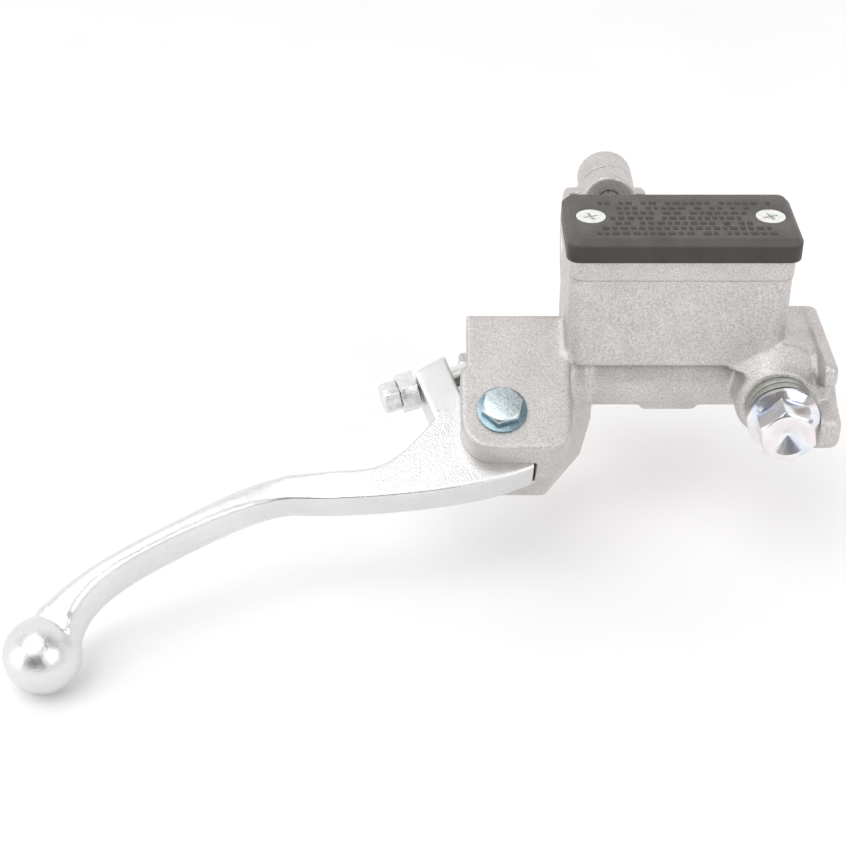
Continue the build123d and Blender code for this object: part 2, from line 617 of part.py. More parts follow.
def pivot_nut():
    """The flanged lock nut below the lower ear."""
    below = Plane(origin=PIVOT_PLANE.origin, x_dir=(1, 0, 0), z_dir=-PIVOT_PLANE.z_dir)
    nut = rod(below, PIVOT_FLANGE_RADIUS, EAR_HEIGHT, EAR_HEIGHT + 1.2)
    nut += hexagon(below, 10.0, EAR_HEIGHT + 1.0, EAR_HEIGHT + 6.0)
    return nut - rod(below, M6_RADIUS + THREAD_CLEARANCE, 0, 40)


def adjuster_screw():
    """The M6 adjuster, whose ball-shaped tip pushes the piston."""
    start, end = ADJUSTER_HEAD_START, ADJUSTER_HEAD_END
    screw = ADJUSTER_PLANE * Sphere(TIP_BALL_RADIUS)
    screw += rod(ADJUSTER_PLANE, M6_RADIUS, 0, start + 1)
    return screw + hexagon(ADJUSTER_PLANE, 8.0, start, end, turn=10)


def adjuster_lock_nut():
    """The M6 nut that locks the adjuster against the lever's lug."""
    nut = hexagon(ADJUSTER_PLANE, 10.0, LOCK_NUT_START, LOCK_NUT_END, turn=15, crown=0.5)
    return nut - rod(ADJUSTER_PLANE, M6_RADIUS + THREAD_CLEARANCE, 0, 40)


def banjo_bolt():
    """The hollow hose bolt: thread, cross-drilled neck, flange, hexagon and dished end."""
    back, head_end = -BANJO_FLANGE_BACK_Y, -BANJO_HEAD_END_Y
    thread_start, neck_start = -BANJO_TIP_Y, back - 6.5
    bolt = rod(PORT_PLANE, BANJO_RADIUS, thread_start, neck_start)
    bolt = chamfer(bolt.edges().filter_by(GeomType.CIRCLE).sort_by(Axis.Y)[-1:], 0.8)
    bolt += rod(PORT_PLANE, BANJO_RADIUS - 0.8, neck_start - 0.5, back + 1)
    rim, edge = BANJO_FLANGE_RADIUS, back + BANJO_FLANGE_THICKNESS
    bolt += turned(PORT_PLANE, [(0, back), (rim, back), (rim, edge - 1.1), (7.6, edge), (0, edge)])
    bolt += hexagon(PORT_PLANE, 14.0, back + 1, head_end, turn=BANJO_HEX_TURN, crown=0.9)
    bolt -= turned(PORT_PLANE, [(0, head_end - 2.2), (5.4, head_end + 0.02), (0, head_end + 0.02)])
    bolt -= rod(PORT_PLANE, 1.6, 0, back - 2.0)
    cross = Plane(origin=(PORT_X, -back + 3.0, BORE_Z))
    return bolt - rod(cross, 1.1, -12, 12)


def crush_washers():
    """The two soft sealing washers, which sit on each side of a hose's banjo eye."""
    washers = []
    for index in range(2):
        start = -PORT_SEAT_Y + index * (WASHER_THICKNESS + 0.1)
        blank = ring(PORT_PLANE, WASHER_RADIUS, BANJO_RADIUS + 0.15, start, start + WASHER_THICKNESS)
        washers.append(chamfer(blank.edges().filter_by(GeomType.CIRCLE), 0.3))
    return Compound(washers)


def clamp_half():
    """The removable half of the handlebar clamp, with a boss for each bolt."""
    half = CLAMP_WIDTH / 2
    arch = rod(CLAMP_PLANE, CLAMP_OUTER_RADIUS, -half, half)
    arch = fillet(arch.edges().filter_by(GeomType.CIRCLE), 1.2)
    for height in (CLAMP_BOLT_HEIGHT, -CLAMP_BOLT_HEIGHT):
        boss = rod(Plane.XZ, CLAMP_BOSS_RADIUS, 0, -CLAMP_HALF_BOSS_LENGTH, (0, height))
        arch += chamfer(boss.edges().filter_by(GeomType.CIRCLE), 0.6)
    arch -= box_between((-50, -60, -60), (50, SPLIT_GAP, 60))
    arch -= rod(CLAMP_PLANE, BAR_RADIUS, -60, 60)
    for height in (CLAMP_BOLT_HEIGHT, -CLAMP_BOLT_HEIGHT):
        arch -= rod(Plane.XZ, M6_RADIUS + 0.3, -60, 60, (0, height))
        arch -= rod(Plane.XZ, CLAMP_FLANGE_RADIUS + 0.4, -60, -CLAMP_HALF_BOSS_LENGTH, (0, height))
    return arch


def clamp_bolt(height):
    """An M6 flange bolt that pulls the clamp half onto the body from the rider's side."""
    plane = Plane(origin=(0, CLAMP_HALF_BOSS_LENGTH, height), x_dir=(1, 0, 0), z_dir=(0, 1, 0))
    flange = rod(plane, CLAMP_FLANGE_RADIUS, 0, 1.3)
    flange = chamfer(flange.edges().filter_by(GeomType.CIRCLE)[-1:], 0.4)
    shank = rod(plane, M6_RADIUS, -CLAMP_HALF_BOSS_LENGTH - SADDLE_BOSS_LENGTH + 0.8, 1)
    return flange + shank + hexagon(plane, 8.0, 1, 6.2)


def clamp_bolts():
    """Both bolts of the handlebar clamp."""
    return Compound([clamp_bolt(height) for height in (CLAMP_BOLT_HEIGHT, -CLAMP_BOLT_HEIGHT)])


MAKERS = {
    "body": body,
    "reservoir_cap": reservoir_cap,
    "cap_screws": cap_screws,
    "diaphragm": diaphragm,
    "port_shield": port_shield,
    "sight_glass": sight_glass,
    "sight_glass_seal": sight_glass_seal,
    "piston": piston,
    "primary_cup": lambda: cup(PRIMARY_SEAT_RADIUS, PRIMARY_CUP_X),
    "secondary_cup": lambda: cup(SECONDARY_SEAT_RADIUS, SECONDARY_CUP_X),
    "return_spring": return_spring,
    "stop_washer": stop_washer,
    "circlip": circlip,
    "dust_boot": dust_boot,
    "lever": lever,
    "pivot_bush": pivot_bush,
    "pivot_bolt": pivot_bolt,
    "pivot_nut": pivot_nut,
    "adjuster_screw": adjuster_screw,
    "adjuster_lock_nut": adjuster_lock_nut,
    "banjo_bolt": banjo_bolt,
    "crush_washers": crush_washers,
    "clamp_half": clamp_half,
    "clamp_bolts": clamp_bolts,
}

os.makedirs("parts", exist_ok=True)
for name, maker in MAKERS.items():
    export_step(maker(), f"parts/{name}.step")
    print("wrote", name)
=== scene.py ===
"""The looks of a motorcycle's front brake master cylinder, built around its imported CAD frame.

Everything is in metres, in the frame of the CAD model: the origin is at the centre of the
handlebar bore, +X runs along the bar towards the hose end, +Y back to the rider and +Z up.
"""

import json
import math
import random

import bmesh
import bpy
import numpy as np
from mathutils import Matrix, Vector


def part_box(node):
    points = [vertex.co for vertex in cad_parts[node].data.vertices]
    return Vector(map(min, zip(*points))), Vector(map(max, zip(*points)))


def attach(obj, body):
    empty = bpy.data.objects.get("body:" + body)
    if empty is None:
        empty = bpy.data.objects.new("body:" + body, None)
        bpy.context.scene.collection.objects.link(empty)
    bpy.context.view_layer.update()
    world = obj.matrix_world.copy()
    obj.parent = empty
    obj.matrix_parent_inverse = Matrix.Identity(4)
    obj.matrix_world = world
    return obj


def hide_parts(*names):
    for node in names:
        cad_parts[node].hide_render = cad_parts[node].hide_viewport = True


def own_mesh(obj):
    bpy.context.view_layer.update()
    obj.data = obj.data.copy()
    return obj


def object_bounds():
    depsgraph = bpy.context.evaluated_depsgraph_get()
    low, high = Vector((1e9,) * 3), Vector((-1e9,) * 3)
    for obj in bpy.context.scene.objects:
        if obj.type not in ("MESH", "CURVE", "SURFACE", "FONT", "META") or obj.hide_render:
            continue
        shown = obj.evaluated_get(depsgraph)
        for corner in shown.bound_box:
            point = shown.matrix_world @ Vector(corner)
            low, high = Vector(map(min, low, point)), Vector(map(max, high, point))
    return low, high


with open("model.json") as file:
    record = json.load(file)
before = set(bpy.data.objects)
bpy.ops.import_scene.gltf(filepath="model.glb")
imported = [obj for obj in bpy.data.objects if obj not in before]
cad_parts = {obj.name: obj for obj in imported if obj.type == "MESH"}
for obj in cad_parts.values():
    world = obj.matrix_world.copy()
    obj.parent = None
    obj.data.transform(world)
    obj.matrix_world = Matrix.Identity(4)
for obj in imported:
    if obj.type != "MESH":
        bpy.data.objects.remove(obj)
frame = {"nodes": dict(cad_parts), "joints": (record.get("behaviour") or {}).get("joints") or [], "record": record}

CAD_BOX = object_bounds()
MM = 0.001
NODES = frame["nodes"]
JOINTS = {joint["name"]: joint for joint in frame["joints"]}
MOUNTS = {mount["name"]: mount for mount in frame["record"]["mounts"]}
PIVOT = Vector(JOINTS["lever_pivot"]["pos_m"])
LEVER_UP = -Vector(JOINTS["lever_pivot"]["axis"])
LEVER_TILT = math.atan2(-LEVER_UP.y, LEVER_UP.z)
PORT = Vector(MOUNTS["hose_port"]["pos_m"])
BAR_RADIUS = MOUNTS["handlebar_clamp"]["dims"]["r_mm"] * MM

# Sizes in millimetres.
WELD_GAP = 0.002
CAST_VOXEL = 0.42
LEVER_VOXEL = 0.34
# The casting's collar ends this far below the lid, and a thin line of painted shade marks that step; the
# reservoir, which alone gets the line, lies forward of this Y.
COLLAR_DROP = 6.0
RESERVOIR_BACK = -17.0
# The lid's sides are painted darker, as shade, this far below its top.
CAP_SIDE = 1.6
# The pivot bolt's head, and how far up it the flats, painted darker as shade, give way to the bright crown.
PIVOT_HEAD = 4.0
PIVOT_FLATS = 3.2
# The radii round the cylinder, the hose port and the pivot inside which no fillet grows.
CYLINDER_CLEAR = 8.6
PORT_CLEAR = 6.2
PIVOT_CLEAR = 5.0
# The milled faces: two radii, of the hose bolt's seat and the cylinder, and half the lever's slot.
SEAT_RADIUS = 9.3
CYLINDER_MILLED = 8.3
SLOT_HALF = 6.35


# --- Mesh helpers ---------------------------------------------------------------------------


def middle_of(node):
    """The middle of a CAD node's box."""
    low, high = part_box(node)
    return (low + high) / 2


def shown(name, mesh):
    """A new object for a mesh, in the scene."""
    piece = bpy.data.objects.new(name, mesh)
    bpy.context.scene.collection.objects.link(piece)
    return piece


def apply_modifiers(piece):
    """Replaces a piece's mesh by what its modifiers make of it."""
    evaluated = piece.evaluated_get(bpy.context.evaluated_depsgraph_get())
    mesh = bpy.data.meshes.new_from_object(evaluated)
    piece.modifiers.clear()
    piece.data = mesh


def welded_copy(node, name):
    """A copy of a CAD node's mesh whose faces share their corners, with no split normals."""
    mesh = bpy.data.meshes.new(name)
    solid = bmesh.new()
    solid.from_mesh(NODES[node].data)
    bmesh.ops.remove_doubles(solid, verts=solid.verts, dist=WELD_GAP * MM)
    solid.to_mesh(mesh)
    solid.free()
    for layer in ("custom_normal", "sharp_edge", "sharp_face"):
        if layer in mesh.attributes:
            mesh.attributes.remove(mesh.attributes[layer])
    return shown(name, mesh)


def smooth_shading(piece, angle=32.0):
    """Smooth faces, with the edges sharper than the angle kept sharp."""
    mesh = piece.data
    mesh.shade_smooth()
    solid = bmesh.new()
    solid.from_mesh(mesh)
    limit = math.radians(angle)
    for edge in solid.edges:
        edge.smooth = len(edge.link_faces) == 2 and edge.calc_face_angle(0) < limit
    solid.to_mesh(mesh)
    solid.free()


def cut_dish(piece):
    """Cuts the long triangles of a dished end into short ones, so that its cone shades truly."""
    solid = bmesh.new()
    solid.from_mesh(piece.data)
    near_middle = [v for v in solid.verts if math.hypot(v.co.x - PORT.x, v.co.z - PORT.z) < 0.05 * MM]
    apex = min(near_middle, key=lambda vertex: vertex.co.y)
    bmesh.ops.subdivide_edges(solid, edges=apex.link_edges[:], cuts=7)
    solid.to_mesh(piece.data)
    solid.free()


def machined(node, name, width):
    """A turned or milled piece: the CAD shape with every sharp edge broken by a small bevel."""
    piece = welded_copy(node, name)
    flatten = piece.modifiers.new("flats", "DECIMATE")
    flatten.decimate_type = "DISSOLVE"
    flatten.angle_limit = math.radians(1.0)
    bevel = piece.modifiers.new("edges", "BEVEL")
    bevel.width = width * MM
    bevel.segments = 2
    bevel.limit_method = "ANGLE"
    bevel.angle_limit = math.radians(28.0)
    bevel.use_clamp_overlap = True
    bevel.harden_normals = False
    apply_modifiers(piece)
    if node == "banjo_bolt":
        cut_dish(piece)
    smooth_shading(piece, 17.0 if node == "banjo_bolt" else 30.0)
    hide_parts(node)
    return piece


def remesh(piece, voxel, turn=0.0):
    """Even small faces all over. The grid is turned about X so that tilted faces come out flat."""
    if turn:
        piece.data.transform(Matrix.Rotation(-turn, 4, "X"))
    even = piece.modifiers.new("even", "REMESH")
    even.mode = "VOXEL"
    even.voxel_size = voxel * MM
    even.use_smooth_shade = True
    apply_modifiers(piece)
    if turn:
        piece.data.transform(Matrix.Rotation(turn, 4, "X"))


def places_of(mesh):
    """The vertices as a table of points."""
    places = np.empty(len(mesh.vertices) * 3)
    mesh.vertices.foreach_get("co", places)
    return places.reshape(-1, 3)


def normals_of(mesh):
    """The vertex normals as a table of directions."""
    normals = np.empty(len(mesh.vertices) * 3, np.float32)
    mesh.vertex_normals.foreach_get("vector", normals)
    return normals.reshape(-1, 3).astype(float)


def relax(piece, steps, strength=0.5, weight=None, fill=False):
    """Smooths a mesh, or with fill only raises its hollows, which makes a casting's fillets."""
    mesh = piece.data
    places = places_of(mesh)
    count = len(places)
    ends = np.empty(len(mesh.edges) * 2, np.int32)
    mesh.edges.foreach_get("vertices", ends)
    first, second = ends[0::2], ends[1::2]
    degree = np.bincount(ends, minlength=count)[:, None]
    share = np.ones((count, 1)) if weight is None else weight(places)[:, None]
    for step in range(steps):
        if fill and step % 5 == 0:
            mesh.vertices.foreach_set("co", places.ravel())
            mesh.update()
            normals = normals_of(mesh)
        total = [
            np.bincount(first, places[second, k], count) + np.bincount(second, places[first, k], count)
            for k in range(3)
        ]
        pull = np.stack(total, 1) / degree - places
        if fill:
            rise = np.clip((pull * normals).sum(1), 0, None)
            pull = normals * rise[:, None]
        places = places + strength * share * pull
    mesh.vertices.foreach_set("co", places.ravel())
    mesh.update()


def lever_frame(places):
    """The points' height over the lever's middle plane and reach from its pivot, both in metres."""
    reach_way = np.array((0.0, LEVER_UP.z, -LEVER_UP.y))
    offset = places - np.array(PIVOT)
    return offset @ np.array(LEVER_UP), offset @ reach_way


def near_axis(places, point, axis, radius, low=-1.0, high=1.0):
    """Whether each point is within a radius of an axis, between two distances along it."""
    axis = np.array(Vector(axis).normalized())
    offset = places - np.array(point)
    along = offset @ axis
    across = np.linalg.norm(offset - along[:, None] * axis, axis=1)
    return (across < radius) & (along > low) & (along < high)


def paint_faces(piece, chooser):
    """Gives the faces whose middle the chooser picks the piece's second material."""
    mesh = piece.data
    middles = np.empty(len(mesh.polygons) * 3)
    mesh.polygons.foreach_get("center", middles)
    mesh.polygons.foreach_set("material_index", chooser(middles.reshape(-1, 3)).astype(np.int32))
    mesh.update()


# --- Materials ------------------------------------------------------------------------------


class Finish:
    """A procedural material on one Principled shader, whose patterns lie in the part's frame."""

    def __init__(self, name, metallic=0.0, **sockets):
        self.material = bpy.data.materials.new(name)
        self.material.use_nodes = True
        self.tree = self.material.node_tree
        self.shader = self.tree.nodes["Principled BSDF"]
        self.shader.inputs["Metallic"].default_value = metallic
        for socket, value in sockets.items():
            self.shader.inputs[socket.replace("_", " ")].default_value = value
        self.place = self.node("ShaderNodeTexCoord").outputs["Object"]
        self.normal = None

    def node(self, kind, **inputs):
        made = self.tree.nodes.new(kind)
        for name, value in inputs.items():
            self.put(made.inputs[name], value)
        return made

    def put(self, socket, value):
        if isinstance(value, bpy.types.NodeSocket):
            self.tree.links.new(value, socket)
        else:
            socket.default_value = value

    def noise(self, size, detail=2.0, roughness=0.5, stretch=(1, 1, 1)):
        """Cloudy noise whose lumps are size millimetres across."""
        place = self.node("ShaderNodeMapping", Vector=self.place, Scale=stretch).outputs[0]
        made = self.node("ShaderNodeTexNoise", Vector=place, Scale=1 / (size * MM))
        made.inputs["Detail"].default_value = detail
        made.inputs["Roughness"].default_value = roughness
        return made.outputs["Fac"]

    def cells(self, size):
        """The distance to the nearest of many scattered points, size millimetres apart."""
        made = self.node("ShaderNodeTexVoronoi", Vector=self.place, Scale=1 / (size * MM))
        return made.outputs["Distance"]

    def rings(self, centre, axis, pitch):
        """Fine turning marks: rings round an axis, pitch millimetres apart."""
        turn = Vector(axis).rotation_difference(Vector((0, 0, 1))).to_euler()
        moved = self.node("ShaderNodeVectorMath", Vector=self.place)
        moved.operation = "SUBTRACT"
        moved.inputs[1].default_value = centre
        facing = self.node("ShaderNodeMapping", Vector=moved.outputs[0], Rotation=turn).outputs[0]
        made = self.node("ShaderNodeTexWave", Vector=facing, Scale=1 / (pitch * MM * 2 * math.pi))
        made.wave_type = "RINGS"
        made.rings_direction = "Z"
        return made.outputs["Fac"]

    def along(self, centre, axis, height):
        """The distance along an axis, which is a half at a height in millimetres from its centre."""
        moved = self.node("ShaderNodeVectorMath", Vector=self.place)
        moved.operation = "SUBTRACT"
        moved.inputs[1].default_value = centre
        made = self.node("ShaderNodeVectorMath", Vector=moved.outputs[0])
        made.operation = "DOT_PRODUCT"
        made.inputs[1].default_value = Vector(axis).normalized()
        scaled = self.node("ShaderNodeMapRange", Value=made.outputs["Value"])
        scaled.inputs["From Min"].default_value = (height - 2.0) * MM
        scaled.inputs["From Max"].default_value = (height + 2.0) * MM
        return scaled.outputs["Result"]

    def ramp(self, value, *stops):
        """A value turned into a colour or another value by (position, colour) stops."""
        made = self.node("ShaderNodeValToRGB", Fac=value)
        band = made.color_ramp.elements
        while len(band) < len(stops):
            band.new(0.5)
        for element, (position, shade) in zip(band, stops):
            element.position = position
            colour = shade if isinstance(shade, tuple) else (shade, shade, shade)
            element.color = (*colour, 1.0)
        return made.outputs["Color"]

    def mix(self, factor, first, second, blend="MIX"):
        made = self.tree.nodes.new("ShaderNodeMix")
        made.data_type = "RGBA"
        made.blend_type = blend
        self.put(made.inputs[0], factor)
        for socket, value in ((made.inputs[6], first), (made.inputs[7], second)):
            self.put(socket, (*value, 1.0) if isinstance(value, tuple) else value)
        return made.outputs[2]

    def bump(self, height, depth):
        """Adds relief of a depth in millimetres to the surface."""
        made = self.node("ShaderNodeBump", Height=height, Distance=depth * MM)
        if self.normal is not None:
            self.put(made.inputs["Normal"], self.normal)
        self.normal = made.outputs["Normal"]
        self.put(self.shader.inputs["Normal"], self.normal)

    def colour(self, value):
        self.put(self.shader.inputs["Base Color"], value)

    def roughness(self, value):
        self.put(self.shader.inputs["Roughness"], value)


def cast_aluminium():
    """Shot-blasted die casting: warm light grey, satin, with a fine grain, small dark pits and, on the reservoir's
    front, a thin line of painted shade where the collar steps in.
    """
    finish = Finish("cast_aluminium", metallic=0.8, Roughness=0.5)
    cloud = finish.ramp(finish.noise(9.0, 4.0), (0.3, (0.575, 0.553, 0.540)), (0.7, (0.645, 0.622, 0.608)))
    grain = finish.ramp(finish.noise(0.42, 3.0, 0.65), (0.34, 0.72), (0.50, 0.97), (0.66, 1.18))
    colour = finish.mix(1.0, cloud, grain, "MULTIPLY")
    pits = finish.ramp(finish.cells(1.7), (0.05, 0.5), (0.15, 1.0))
    colour = finish.mix(0.6, colour, finish.mix(1.0, colour, pits, "MULTIPLY"))
    # Painted shade: a thin dark line along the collar's step, on the reservoir's front only.
    shade_line = finish.along(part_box("reservoir_cap")[0], (0, 0, 1), -COLLAR_DROP)
    line_shade = finish.ramp(shade_line, (0.46, 1.0), (0.485, 0.5), (0.515, 0.5), (0.54, 1.0))
    reservoir = finish.along((0, RESERVOIR_BACK * MM, 0), (0, -1, 0), 0.0)
    finish.colour(finish.mix(reservoir, colour, finish.mix(1.0, colour, line_shade, "MULTIPLY")))
    finish.roughness(finish.ramp(finish.noise(0.5, 2.0), (0.3, 0.42), (0.7, 0.56)))
    finish.bump(finish.noise(1.3, 3.0), 0.05)
    finish.bump(finish.noise(0.30, 2.0, 0.7), 0.04)
    return finish.material


def machined_aluminium():
    """Bare milled or bored faces of the casting: brighter, with faint tool marks."""
    finish = Finish("machined_aluminium", metallic=0.95, Roughness=0.32)
    finish.colour(finish.ramp(finish.noise(3.0, 3.0), (0.3, (0.68, 0.68, 0.67)), (0.7, (0.78, 0.78, 0.77))))
    finish.roughness(finish.ramp(finish.noise(0.15, 2.0, stretch=(1, 0.06, 0.06)), (0.3, 0.25), (0.7, 0.42)))
    finish.bump(finish.noise(0.2, 2.0, stretch=(1, 0.05, 0.05)), 0.012)
    return finish.material


def lever_aluminium():
    """Bright tumbled aluminium: nearly white, satin, with a fine sparkling grain."""
    finish = Finish("lever_aluminium", metallic=1.0, Roughness=0.24)
    cloud = finish.ramp(finish.noise(14.0, 3.0), (0.3, (0.76, 0.76, 0.765)), (0.7, (0.82, 0.82, 0.82)))
    speck = finish.ramp(finish.noise(0.27, 2.0, 0.7), (0.34, 0.80), (0.5, 1.0))
    finish.colour(finish.mix(1.0, cloud, speck, "MULTIPLY"))
    finish.roughness(finish.ramp(finish.noise(0.6, 3.0), (0.3, 0.17), (0.7, 0.28)))
    finish.bump(finish.noise(0.34, 2.0, 0.6), 0.075)
    finish.bump(finish.noise(2.2, 2.0), 0.02)
    return finish.material


def cap_plastic():
    """Fine-textured moulded plastic, dark warm grey with paler scuffs, and sides painted darker than the top as
    shade.
    """
    finish = Finish("cap_plastic", metallic=0.0, Roughness=0.5)
    cloud = finish.ramp(finish.noise(8.0, 5.0), (0.3, (0.066, 0.058, 0.055)), (0.72, (0.102, 0.090, 0.084)))
    speck = finish.ramp(finish.noise(0.3, 2.0, 0.7), (0.62, 0.0), (0.78, 1.0))
    dusty = finish.mix(speck, cloud, (0.15, 0.14, 0.135))
    # Painted shade: the lid's sides below its top are darkened to under half, as the light falls off them.
    height = finish.along(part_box("reservoir_cap")[1], (0, 0, 1), -CAP_SIDE)
    side_shade = finish.ramp(height, (0.40, (0.46, 0.45, 0.45)), (0.56, (0.96, 0.96, 0.96)))
    finish.colour(finish.mix(1.0, dusty, side_shade, "MULTIPLY"))
    finish.roughness(finish.ramp(finish.noise(1.0, 3.0), (0.3, 0.42), (0.7, 0.58)))
    finish.bump(finish.noise(0.28, 2.0, 0.6), 0.03)
    return finish.material


def mark_plastic():
    """The smoother, darker plastic of the lid's moulded dashes."""
    finish = Finish("mark_plastic", metallic=0.0, Roughness=0.4)
    cloud = finish.ramp(finish.noise(1.2, 3.0), (0.3, (0.012, 0.011, 0.011)), (0.7, (0.024, 0.022, 0.022)))
    finish.colour(cloud)
    finish.bump(finish.noise(0.3, 2.0), 0.015)
    return finish.material


def zinc_steel(name, tint, axis, centre, pitch=0.35, top=None):
    """Clear zinc plate with faint rings round its axis and, given a top, flats painted darker as shade below a
    bright top.
    """
    finish = Finish(name, metallic=1.0, Roughness=0.3)
    pale = tuple(0.76 * c for c in tint)
    bright = tuple(0.92 * c for c in tint)
    colour = finish.ramp(finish.noise(1.6, 4.0), (0.3, pale), (0.7, bright))
    if top is not None:
        # Painted shade: the flats below the top are darkened and tinted, and the top is kept bright.
        height = finish.along(centre, axis, top)
        shade = finish.ramp(height, (0.42, tuple(0.50 * c * c for c in tint)), (0.50, (0.84, 0.85, 0.85)))
        colour = finish.mix(1.0, colour, shade, "MULTIPLY")
    finish.colour(colour)
    finish.roughness(finish.ramp(finish.noise(0.5, 4.0, 0.6), (0.3, 0.2), (0.7, 0.42)))
    finish.bump(finish.noise(0.9, 3.0), 0.045)
    finish.bump(finish.rings(centre, axis, pitch), 0.008)
    return finish.material


def bright_zinc():
    """Bright polished zinc plate with a faint pink and blue bloom."""
    finish = Finish("bright_zinc", metallic=1.0, Roughness=0.14)
    bloom = finish.ramp(
        finish.noise(5.0, 1.0),
        (0.32, (0.70, 0.74, 0.84)),
        (0.5, (0.84, 0.84, 0.85)),
        (0.66, (0.82, 0.76, 0.79)),
    )
    finish.colour(bloom)
    finish.roughness(finish.ramp(finish.noise(0.7, 3.0), (0.3, 0.13), (0.7, 0.24)))
    finish.bump(finish.noise(1.1, 2.0), 0.005)
    return finish.material


def washer_metal():
    """Dull soft metal with a grey-green cast and fine circular scoring, and thin dark lines of painted shade at
    both ends of the stack and between the washers.
    """
    finish = Finish("washer_metal", metallic=0.85, Roughness=0.42)
    metal = finish.ramp(finish.noise(1.5, 3.0), (0.3, (0.43, 0.45, 0.415)), (0.7, (0.55, 0.57, 0.53)))
    # Painted shade: three dark lines, at both faces of the stack and between the washers, where the gaps lie in
    # shadow.
    near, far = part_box("crush_washers")[0].y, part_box("crush_washers")[1].y
    for shade_line in (near, (near + far) / 2, far):
        place = finish.along((PORT.x, shade_line, PORT.z), (0, -1, 0), 0.0)
        line_shade = finish.ramp(place, (0.42, 1.0), (0.47, 0.22), (0.53, 0.22), (0.58, 1.0))
        metal = finish.mix(1.0, metal, line_shade, "MULTIPLY")
    finish.colour(metal)
    finish.roughness(finish.ramp(finish.noise(0.4, 3.0), (0.3, 0.34), (0.7, 0.5)))
    finish.bump(finish.noise(0.35, 2.0), 0.012)
    return finish.material


def plain_metal(name, low, high, rough_low, rough_high, grain=0.4):
    """A simple worked metal: a base colour that wanders a little, and a fine grain."""
    finish = Finish(name, metallic=1.0, Roughness=rough_low)
    finish.colour(finish.ramp(finish.noise(1.8, 3.0), (0.3, low), (0.7, high)))
    finish.roughness(finish.ramp(finish.noise(grain, 3.0), (0.3, rough_low), (0.7, rough_high)))
    finish.bump(finish.noise(grain, 2.0), 0.01)
    return finish.material


def black_rubber():
    """Moulded rubber with a dusty bloom."""
    finish = Finish("black_rubber", metallic=0.0, Roughness=0.6)
    bloom = finish.ramp(finish.noise(2.0, 4.0), (0.35, (0.018, 0.018, 0.019)), (0.75, (0.045, 0.044, 0.043)))
    finish.colour(bloom)
    finish.roughness(finish.ramp(finish.noise(0.6, 3.0), (0.3, 0.5), (0.7, 0.72)))
    finish.bump(finish.noise(0.3, 2.0), 0.02)
    return finish.material


def window_glass():
    """The clear window of the fluid level, a little frosted by moulding."""
    finish = Finish("window_glass", metallic=0.0, Roughness=0.06)
    finish.shader.inputs["Transmission Weight"].default_value = 0.85
    finish.shader.inputs["IOR"].default_value = 1.49
    finish.colour(finish.ramp(finish.noise(2.5, 2.0), (0.3, (0.82, 0.86, 0.80)), (0.7, (0.92, 0.94, 0.90))))
    finish.bump(finish.noise(1.5, 2.0), 0.01)
    return finish.material


def floor_finish():
    """Pale seamless paper."""
    finish = Finish("floor_finish", metallic=0.0, Roughness=0.85)
    finish.colour(finish.ramp(finish.noise(60.0, 3.0), (0.3, (0.93, 0.93, 0.93)), (0.7, (0.95, 0.95, 0.95))))
    finish.shader.inputs["Specular IOR Level"].default_value = 0.2
    return finish.material


def dress(piece, slot, *materials):
    """Puts the finish on a piece. The slot, the record's slot that the finish comes from, is not used."""
    piece.data.materials.clear()
    for material in materials:
        piece.data.materials.append(material)


# --- The casting ----------------------------------------------------------------------------


def bores(places):
    """Where the casting is bored, drilled or slotted, so that its fillets stay out."""
    height, reach = lever_frame(places)
    x = places[:, 0]
    cylinder = middle_of("piston")
    inside = near_axis(places, (0, 0, 0), (1, 0, 0), BAR_RADIUS + 1.2 * MM)
    inside |= near_axis(places, cylinder, (1, 0, 0), CYLINDER_CLEAR * MM)
    inside |= near_axis(places, PORT, (0, 1, 0), PORT_CLEAR * MM, 0.0, 1.0)
    inside |= near_axis(places, PIVOT, LEVER_UP, PIVOT_CLEAR * MM)
    inside |= (np.abs(height) < 7.2 * MM) & (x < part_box("reservoir_cap")[0].x) & (reach < 12 * MM)
    for low, high in solid_boxes("cap_screws") + solid_boxes("clamp_bolts"):
        near = ((places > low - 0.7 * MM) & (places < high + 0.7 * MM)).all(1)
        inside |= near
    return inside


def solid_boxes(node):
    """The box of each separate solid of a node, as (lowest corner, highest corner)."""
    solid = bmesh.new()
    solid.from_mesh(NODES[node].data)
    bmesh.ops.remove_doubles(solid, verts=solid.verts, dist=WELD_GAP * MM)
    left = set(solid.verts)
    boxes = []
    while left:
        group, waiting = set(), [left.pop()]
        while waiting:
            vertex = waiting.pop()
            group.add(vertex.co.copy().freeze())
            for edge in vertex.link_edges:
                other = edge.other_vert(vertex)
                if other in left:
                    left.discard(other)
                    waiting.append(other)
        points = np.array(list(group))
        boxes.append((points.min(0), points.max(0)))
    solid.free()
    return sorted(boxes, key=lambda box: tuple(box[0]))


def machined_places(middles):
    """Which faces of the casting are machined: bores, the lever's slot, seats and split faces."""
    height, reach = lever_frame(middles)
    x, y, z = middles.T
    cap_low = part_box("reservoir_cap")[0]
    cylinder = middle_of("piston")
    seat = near_axis(middles, PORT, (0, 1, 0), SEAT_RADIUS * MM, -0.3 * MM, 0.4 * MM)
    bore = near_axis(middles, (0, 0, 0), (1, 0, 0), BAR_RADIUS + 0.35 * MM)
    cylinder_bore = near_axis(middles, cylinder, (1, 0, 0), CYLINDER_MILLED * MM) & (x < cap_low.x)
    slot = (np.abs(height) < SLOT_HALF * MM) & (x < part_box("lever")[1].x + 0.6 * MM) & (reach < 11 * MM)
    split = (y > -0.9 * MM) & (y < 0.4 * MM)
    rim = z > cap_low.z - 0.35 * MM
    rim &= near_axis(middles, middle_of("reservoir_cap"), (0, 0, 1), 50 * MM)
    return seat | bore | cylinder_bore | slot | split | (rim & (y < -18 * MM))


